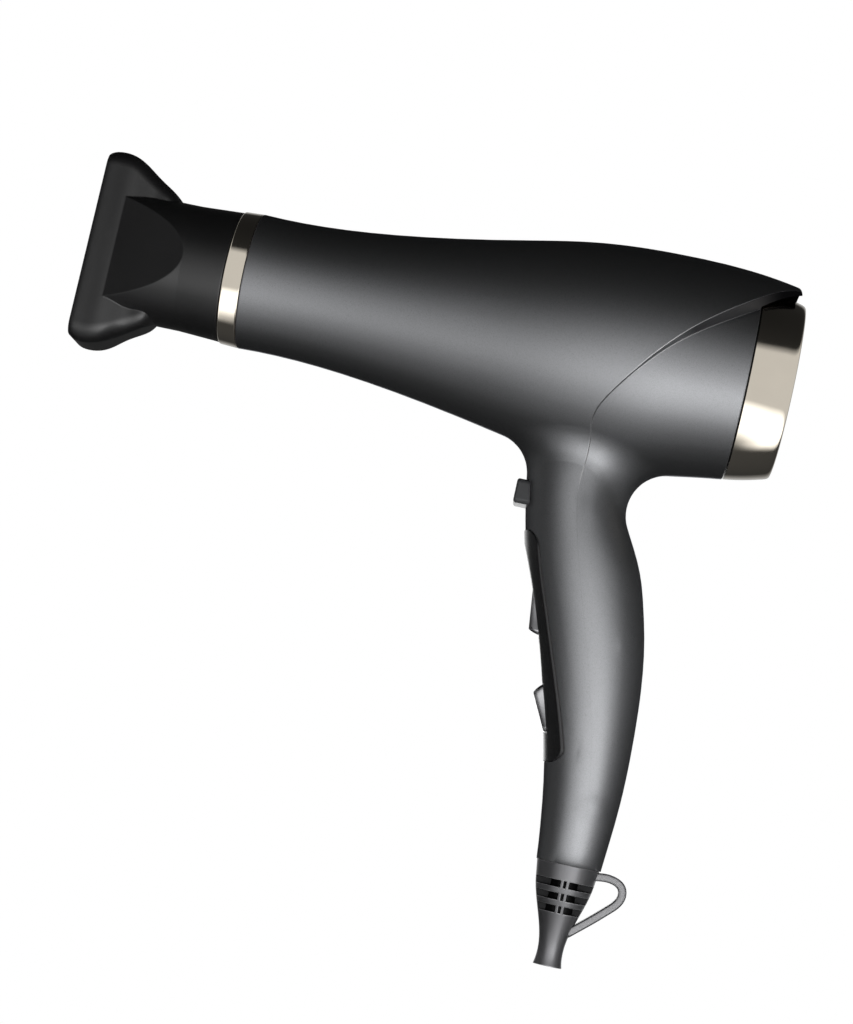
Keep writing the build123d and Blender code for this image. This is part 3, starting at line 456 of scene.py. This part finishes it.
def makePlastic(name, colour, smooth, rough, grainSize, grainDepth, specular=0.5, contrast=0.25, soften=0.0,
                sheen=0.0, grazing=1.0, rim=None, shade=0.0, wallShadeAbove=None):
    look = plasticLook
    material, tree, shader, position = startFinish(name, Specular_IOR_Level=specular, Metallic=sheen,
                                                   Specular_Tint=(grazing, grazing, grazing, 1))
    grain = useGroup(tree, mouldGrain, position=position, size=grainSize)
    marks = useGroup(tree, handlingMarks, position=position, size=look["marksSize"])
    shown = mix(tree, marks["cloud"], toned(colour, 1 - contrast), toned(colour, 1 + contrast))
    rounded = None
    if soften:
        edges = useGroup(tree, edgeRounding, radius=soften)
        rounded = edges["rounded"]
        # painted light along edges: painted highlight lines on the guard's slot edges, a painted dark outline of shade
        # round the loop
        if rim:
            shown = mix(tree, edges["edge"], shown, rim + (1,))
    # painted shade in the hollows
    if shade:
        low, high = look["hollowSpan"]
        lit = useGroup(tree, hollowShade, reach=shade, low=low, high=high)["lit"]
        shown = mix(tree, lit, toned(colour, look["hollowShadeTone"]), shown)
    if wallShadeAbove is not None:    # painted shade on the level walls of the slots, not the cut end
        tilt = maths(tree, "ABSOLUTE", axes(tree, plainNormal(tree))["Z"])
        above = maths(tree, "GREATER_THAN", axes(tree, position)["Z"], wallShadeAbove)
        wallShade = product(tree, smoothStep(tree, tilt, *look["wallTilt"]), above)
        shown = mix(tree, wallShade, shown, toned(colour, look["wallShadeTone"]))
    tree.links.new(shown, shader["Base Color"])
    tree.links.new(spread(tree, marks["cloud"], smooth, rough), shader["Roughness"])
    addBump(tree, shader, grain["height"], grainDepth, look["grainStrength"], rounded)
    return material


# Metals

metalLook = {
    "marksSize": 0.008,
    "wornTone": 0.93,
    "scratchStrength": 0.2,
}
metals = {
    "paleNickel": {"colour": (0.6, 0.55, 0.47), "smooth": 0.07, "rough": 0.1, "scratchDepth": 0.000002},
    "plainSteel": {"colour": (0.55, 0.55, 0.55), "smooth": 0.25, "rough": 0.4, "scratchDepth": 0.00001},
    "heatAlloy": {"colour": (0.4, 0.36, 0.32), "smooth": 0.3, "rough": 0.45, "scratchDepth": 0.00001},
}


def makeMetal(name, colour, smooth, rough, scratchDepth):
    look = metalLook
    material, tree, shader, position = startFinish(name, Metallic=1.0)
    marks = useGroup(tree, handlingMarks, position=position, size=look["marksSize"])
    shown = mix(tree, marks["cloud"], toned(colour, look["wornTone"]), colour + (1,))
    tree.links.new(shown, shader["Base Color"])
    tree.links.new(spread(tree, marks["cloud"], smooth, rough), shader["Roughness"])
    addBump(tree, shader, marks["scuff"], scratchDepth, look["scratchStrength"])
    return material


finishes = {"charcoalLacquer": makeLacquer(lacquer), "rockerTwoTone": makeRocker(rocker)}
for name, look in plastics.items():
    finishes[name] = makePlastic(name, **look)
for name, look in metals.items():
    finishes[name] = makeMetal(name, **look)

wearers = {
    "charcoalLacquer": ("housing_left", "housing_right"),
    "rockerTwoTone": ("heat_rocker", "speed_rocker"),
    "nozzleBlack": ("nozzle",),
    "innerBlack": (
        "outlet_grille", "inlet_grille", "motor_end_cap", "fan", "fan_duct", "thermostat", "heat_switch",
        "speed_switch", "cool_shot_switch", "wire_connector",
    ),
    "panelGloss": ("switch_bezel",),
    "buttonGrey": ("cool_shot_button",),
    "guardRubber": ("cord_guard",),
    "loopGrey": ("hanging_loop",),
    "paleNickel": ("front_ring", "rear_ring"),
    "plainSteel": (
        "housing_screws", "nozzle_grip_ring", "filter_mesh", "motor_can", "motor_shaft", "thermal_fuse",
        "cool_shot_spring",
    ),
    "heatAlloy": ("heater_ribbon",),
    "micaSheet": ("mica_tube", "mica_board_upright", "mica_board_level"),
    "wireSleeve": ("switch_wires",),
}
for finish, nodes in wearers.items():
    for node in nodes:
        cad[node].data.materials.clear()
        cad[node].data.materials.append(finishes[finish])
print("finishes assigned:", len(finishes))


# Woven dust gauze in the rear cap, in place of the plain holed disc

gauze = {
    "reach": 0.0268,
    "pitch": 0.0019,
    "wire": 0.00014,
    "wave": 0.00012,
    "steps": 96,
    "wireSides": 4,
    "rimRadius": 0.0281,
    "rimWidth": 0.0038,
    "rimDepth": 0.00046,
    "rimSteps": 96,
}
gauzeInputs = {
    "Float": ("reach", "pitch", "wire", "wave", "rimRadius", "rimWidth", "rimDepth"),
    "Int": ("wires", "steps", "wireSides", "rimSteps"),
}
leastSquare = 1e-8    # keeps the outermost wires from a root of nothing


def gauzeTree():
    tree = bpy.data.node_groups.new("wovenGauze", "GeometryNodeTree")
    sizes = {}
    tree.interface.new_socket("Geometry", in_out="INPUT", socket_type="NodeSocketGeometry")
    for kind, keys in gauzeInputs.items():
        for key in keys:
            socket = tree.interface.new_socket(key, in_out="INPUT", socket_type="NodeSocket" + kind)
            sizes[key] = socket.identifier
    tree.interface.new_socket("Geometry", in_out="OUTPUT", socket_type="NodeSocketGeometry")
    start = tree.nodes.new("NodeGroupInput").outputs
    end = tree.nodes.new("NodeGroupOutput").inputs
    # one straight wire, repeated across the disc and shortened to fit it
    line = addNode(tree, "GeometryNodeCurvePrimitiveLine", Start=(-1, 0, 0), End=(1, 0, 0))
    fine = addNode(tree, "GeometryNodeResampleCurve", Curve=line.outputs[0], Count=start["steps"])
    first = product(tree, maths(tree, "SUBTRACT", 1.0, start["wires"]), 0.5, start["pitch"])
    rows = addNode(tree, "GeometryNodeMeshLine", Count=start["wires"], Start_Location=joined(tree, Y=first),
                   Offset=joined(tree, Y=start["pitch"]))
    x, y, z = axes(tree, tree.nodes.new("GeometryNodeInputPosition").outputs[0])
    square = maths(tree, "SUBTRACT", product(tree, start["reach"], start["reach"]), product(tree, y, y))
    chord = maths(tree, "SQRT", maths(tree, "MAXIMUM", square, leastSquare))
    wires = addNode(tree, "GeometryNodeInstanceOnPoints", Points=rows.outputs[0], Instance=fine.outputs[0],
                    Scale=joined(tree, X=chord, Y=1.0, Z=1.0))
    loose = addNode(tree, "GeometryNodeRealizeInstances", Geometry=wires.outputs[0])
    # over and under: the other layer takes the opposite wave
    turns = [maths(tree, "COSINE", maths(tree, "DIVIDE", product(tree, along, pi), start["pitch"])) for along in (x, y)]
    lift = product(tree, *turns, start["wave"])
    section = addNode(tree, "GeometryNodeCurvePrimitiveCircle", Resolution=start["wireSides"], Radius=start["wire"])
    layers = []
    for side, angle in ((1.0, 0.0), (-1.0, 90.0)):
        rise = joined(tree, Z=product(tree, lift, side))
        woven = addNode(tree, "GeometryNodeSetPosition", Geometry=loose.outputs[0], Offset=rise)
        solid = addNode(tree, "GeometryNodeCurveToMesh", Curve=woven.outputs[0], Profile_Curve=section.outputs[0])
        turn = addNode(tree, "GeometryNodeTransform", Geometry=solid.outputs[0], Rotation=(0, 0, radians(angle)))
        layers.append(turn.outputs[0])
    hoop = addNode(tree, "GeometryNodeCurvePrimitiveCircle", Resolution=start["rimSteps"], Radius=start["rimRadius"])
    band = addNode(tree, "GeometryNodeCurvePrimitiveQuadrilateral", Width=start["rimWidth"], Height=start["rimDepth"])
    rim = addNode(tree, "GeometryNodeCurveToMesh", Curve=hoop.outputs[0], Profile_Curve=band.outputs[0])
    layers.append(rim.outputs[0])
    both = tree.nodes.new("GeometryNodeJoinGeometry")
    for layer in layers:
        tree.links.new(layer, both.inputs[0])
    whole = addNode(tree, "GeometryNodeRealizeInstances", Geometry=both.outputs[0])
    steel = addNode(tree, "GeometryNodeSetMaterial", Geometry=whole.outputs[0], Material=finishes["plainSteel"])
    tree.links.new(steel.outputs[0], end[0])
    return tree, sizes


def makeGauze(look):
    low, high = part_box("filter_mesh")
    tree, sizes = gauzeTree()
    maker = bpy.data.objects.new("gauzeMaker", bpy.data.meshes.new("gauzeMaker"))
    scene.collection.objects.link(maker)
    modifier = maker.modifiers.new("wovenGauze", "NODES")
    modifier.node_group = tree
    values = dict(look, wires=2 * int(look["reach"] / look["pitch"]) + 1)
    for key, identifier in sizes.items():
        modifier[identifier] = values[key]
    made = maker.evaluated_get(bpy.context.evaluated_depsgraph_get())
    mesh = bpy.data.meshes.new_from_object(made)
    maker.modifiers.remove(modifier)
    bpy.data.objects.remove(maker)
    middle = [(a + b) / 2 for a, b in zip(low, high)]
    mesh.transform(Matrix.Translation(middle) @ Matrix.Rotation(radians(90), 4, "Y"))
    piece = bpy.data.objects.new("dustGauze", mesh)
    scene.collection.objects.link(piece)
    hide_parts("filter_mesh")
    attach(piece, "rear_cap")
    print("gauze woven:", len(mesh.polygons), "faces")


makeGauze(gauze)


# Coil behind the cool-shot button: a welded copy of the solid's mesh

coil = {
    "weld": 0.000005,
    "travel": 0.003,
}


def makeCoil(look):
    mesh = cad["cool_shot_spring"].data.copy()
    shell = bmesh.new()
    shell.from_mesh(mesh)
    bmesh.ops.remove_doubles(shell, verts=shell.verts, dist=look["weld"])
    shell.to_mesh(mesh)
    shell.free()
    piece = bpy.data.objects.new("pressCoil", mesh)
    scene.collection.objects.link(piece)
    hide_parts("cool_shot_spring")
    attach(piece, "housing")
    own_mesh(piece)


makeCoil(coil)


# Stage: pale floor, white surroundings, and a tent, a ring sky and softboxes that the camera doesn't see

rings = ("front_ring", "rear_ring")
farSide = (
    "housing_right", "housing_screws", "inlet_grille", "outlet_grille", "fan", "motor_can", "cord_guard",
    "hanging_loop", "switch_bezel", "heat_rocker", "speed_rocker", "cool_shot_button",
)


def addStage(name, vertices, faces=((0, 1, 2, 3),)):
    mesh = bpy.data.meshes.new(name)
    mesh.from_pydata(vertices, [], faces)
    sheet = bpy.data.objects.new(name, mesh)
    scene.collection.objects.link(sheet)
    return sheet


def addDome(name, radius, centre=(0, 0, 0), fineness=4):
    shell = bmesh.new()
    bmesh.ops.create_icosphere(shell, subdivisions=fineness, radius=radius, matrix=Matrix.Translation(centre))
    vertices = [tuple(vertex.co) for vertex in shell.verts]
    faces = [[vertex.index for vertex in face.verts] for face in shell.faces]
    shell.free()
    return addStage(name, vertices, faces)


def glow(sheet, solid=False):
    material, tree = newMaterial(sheet.name)
    tree.nodes.remove(tree.nodes["Principled BSDF"])
    light = tree.nodes.new("ShaderNodeEmission")
    shown = light.outputs[0]
    if not solid:    # rays pass through the sheet
        both = tree.nodes.new("ShaderNodeAddShader")
        tree.links.new(shown, both.inputs[0])
        tree.links.new(tree.nodes.new("ShaderNodeBsdfTransparent").outputs[0], both.inputs[1])
        shown = both.outputs[0]
    tree.links.new(shown, tree.nodes["Material Output"].inputs["Surface"])
    sheet.data.materials.append(material)
    sheet.visible_camera = False
    sheet.visible_shadow = False
    position = tree.nodes.new("ShaderNodeTexCoord").outputs["Object"]
    return tree, light.inputs["Strength"], position


def linkLight(sheet, receivers, state):
    group = bpy.data.collections.new(sheet.name + "Receivers")
    for name in receivers:
        group.objects.link(cad[name])
    for entry in group.collection_objects:
        entry.light_linking.link_state = state
    sheet.light_linking.receiver_collection = group


floorLook = {
    "height": -0.62,
    "half": 6.0,
    "colour": (0.86, 0.86, 0.86, 1),
    "rough": 0.9,
    "white": 0.85,    # the rest is shadow
    "whiteFrom": 0.8,
    "whiteTo": 1.6,
}


def makeFloor(look):
    half, height = look["half"], look["height"]
    floor = addStage("paleFloor", [(-half, -half, height), (half, -half, height), (half, half, height),
                                   (-half, half, height)])
    material, tree = newMaterial("paleFloor")
    matt = tree.nodes["Principled BSDF"]
    matt.inputs["Base Color"].default_value = look["colour"]
    matt.inputs["Roughness"].default_value = look["rough"]
    white = addNode(tree, "ShaderNodeEmission", Strength=1.0)
    spot = tree.nodes.new("ShaderNodeTexCoord").outputs["Object"]
    clean = smoothStep(tree, vectorMaths(tree, "LENGTH", spot)["Value"], look["whiteFrom"], look["whiteTo"])
    share = maths(tree, "MULTIPLY_ADD", clean, 1 - look["white"], look["white"])
    seen = product(tree, tree.nodes.new("ShaderNodeLightPath").outputs["Is Camera Ray"], share)
    tree.links.new(mixShaders(tree, seen, matt.outputs[0], white.outputs[0]),
                   tree.nodes["Material Output"].inputs["Surface"])
    floor.data.materials.append(material)
    floor.visible_glossy = False    # the tent carries on below it there


worldLook = {
    "white": (1, 1, 1, 1),
    "ambient": 0.3,
}


def makeWorld(look):
    world = bpy.data.worlds.new("surroundings")
    world.use_nodes = True
    scene.world = world
    tree = world.node_tree
    white = tree.nodes["Background"]
    white.inputs["Color"].default_value = look["white"]
    soft = addNode(tree, "ShaderNodeBackground", Strength=look["ambient"])
    path = tree.nodes.new("ShaderNodeLightPath").outputs
    direct = maths(tree, "MAXIMUM", path["Is Camera Ray"], path["Is Glossy Ray"])
    direct = maths(tree, "MAXIMUM", direct, path["Is Transmission Ray"])
    tree.links.new(mixShaders(tree, direct, soft.outputs[0], white.outputs[0]),
                   tree.nodes["World Output"].inputs["Surface"])


tentLook = {
    "radius": 2.2,
    "base": 0.012,
    "lobeWidth": 14.0,
    "lobes": (    # azimuth from the camera's side, elevation, strength
        (0, 5, 0.84), (30, 5, 0.7), (-30, 5, 0.22), (-60, 5, 0.06), (60, 5, 0.2), (62, -25, 0.5), (0, -58, 0.3),
        (40, -62, 0.25), (-40, -62, 0.25), (180, 8, 0.2), (145, 8, 0.22), (-145, 8, 0.16), (100, 8, 0.15),
        (-105, 8, 0.3),
    ),
}


def makeTent(look):
    tent = addDome("softTent", look["radius"])
    tree, brightness, position = glow(tent, solid=True)    # hides the white surroundings
    outward = vectorMaths(tree, "NORMALIZE", position)["Vector"]
    total = look["base"]
    for azimuth, elevation, strength in look["lobes"]:
        turn, rise = radians(azimuth), radians(elevation)
        towards = (sin(turn) * cos(rise), -cos(turn) * cos(rise), sin(rise))
        apart = maths(tree, "SUBTRACT", vectorMaths(tree, "DOT_PRODUCT", outward, towards)["Value"], 1.0)
        lobe = maths(tree, "EXPONENT", product(tree, apart, 1 / radians(look["lobeWidth"]) ** 2))
        total = maths(tree, "MULTIPLY_ADD", lobe, strength, total)
    tree.links.new(total, brightness)
    linkLight(tent, rings, "EXCLUDE")


ringSkyLook = {    # what the polished rings mirror
    "radius": 0.5,
    "centre": (-0.05, 0.0, 0.115),
    "blend": 0.05,
    "front": (    # elevation, strength
        (-90, 0.1), (-66, 0.26), (-56, 2.4), (-31, 2.4), (-24, 0.95), (29, 0.95), (37, 0.03), (90, 0.015),
    ),
    "back": ((-90, 0.16), (-65, 0.08), (-30, 0.05), (-12, 0.5), (28, 0.5), (40, 0.03), (90, 0.015)),
}


def makeRingSky(look):
    radius, centre = look["radius"], look["centre"]
    sky = addDome("ringSky", radius, centre)
    tree, brightness, position = glow(sky)
    x, y, z = axes(tree, position)
    height = maths(tree, "DIVIDE", maths(tree, "SUBTRACT", z, centre[2]), radius)
    height = maths(tree, "MULTIPLY_ADD", height, 0.5, 0.5)
    brightest = max(strength for elevation, strength in look["front"])
    levels = []
    for bands in (look["front"], look["back"]):
        ramp = tree.nodes.new("ShaderNodeValToRGB")
        stops = ramp.color_ramp.elements
        while len(stops) < len(bands):
            stops.new(0.5)
        for stop, (elevation, strength) in zip(stops, bands):
            stop.position = 0.5 + 0.5 * sin(radians(elevation))
            stop.color = (strength / brightest,) * 3 + (1,)
        tree.links.new(height, ramp.inputs[0])
        levels.append(ramp.outputs[0])
    behind = smoothStep(tree, y, -look["blend"], look["blend"])
    tree.links.new(product(tree, mix(tree, behind, *levels), brightest), brightness)
    linkLight(sky, rings, "INCLUDE")


softbox = {
    "away": 0.45,
    "low": (-0.9, -0.6),
    "high": (1.1, 0.3),
    "spotSize": (0.15, 0.09),
    "frontSpots": (    # x, z, strength
        (0.3, -0.15, 5.9), (0.05, -0.15, 2.9), (-0.2, -0.15, 1.9), (0.05, 0.0, 1.1), (0.3, 0.0, 0.5), (-0.2, 0.0, 0.8),
        (0.55, 0.15, 0.9), (0.3, -0.45, 4.1), (-0.45, -0.3, 1.0), (-0.45, -0.45, 0.6), (0.05, -0.45, 1.9),
        (0.15, -0.3, 1.2), (-0.15, -0.32, 1.2),
    ),
    "backSpots": (
        (0.25, -0.1, 3.2), (0.0, -0.06, 2.6), (-0.25, -0.06, 2.2), (0.0, 0.12, 1.6), (-0.25, 0.12, 1.2),
        (0.1, -0.3, 1.8),
    ),
}


def makeSoftbox(name, look, spots, side):
    (left, bottom), (right, top), away = look["low"], look["high"], look["away"] * side
    sheet = addStage(name, [(left, away, bottom), (right, away, bottom), (right, away, top), (left, away, top)])
    tree, brightness, position = glow(sheet)
    x, y, z = axes(tree, position)
    wide, tall = look["spotSize"]
    total = 0.0
    for spotX, spotZ, strength in spots:
        across = maths(tree, "DIVIDE", maths(tree, "SUBTRACT", x, spotX), wide)
        along = maths(tree, "DIVIDE", maths(tree, "SUBTRACT", z, spotZ), tall)
        spot = maths(tree, "EXPONENT", product(tree, squareSum(tree, across, along), -1.0))
        total = maths(tree, "MULTIPLY_ADD", spot, strength, total)
    tree.links.new(total, brightness)
    return sheet


makeFloor(floorLook)
makeWorld(worldLook)
makeTent(tentLook)
makeRingSky(ringSkyLook)
linkLight(makeSoftbox("frontSoftbox", softbox, softbox["frontSpots"], -1), rings, "EXCLUDE")
linkLight(makeSoftbox("backSoftbox", softbox, softbox["backSpots"], 1), farSide, "INCLUDE")
print("stage and lights set")
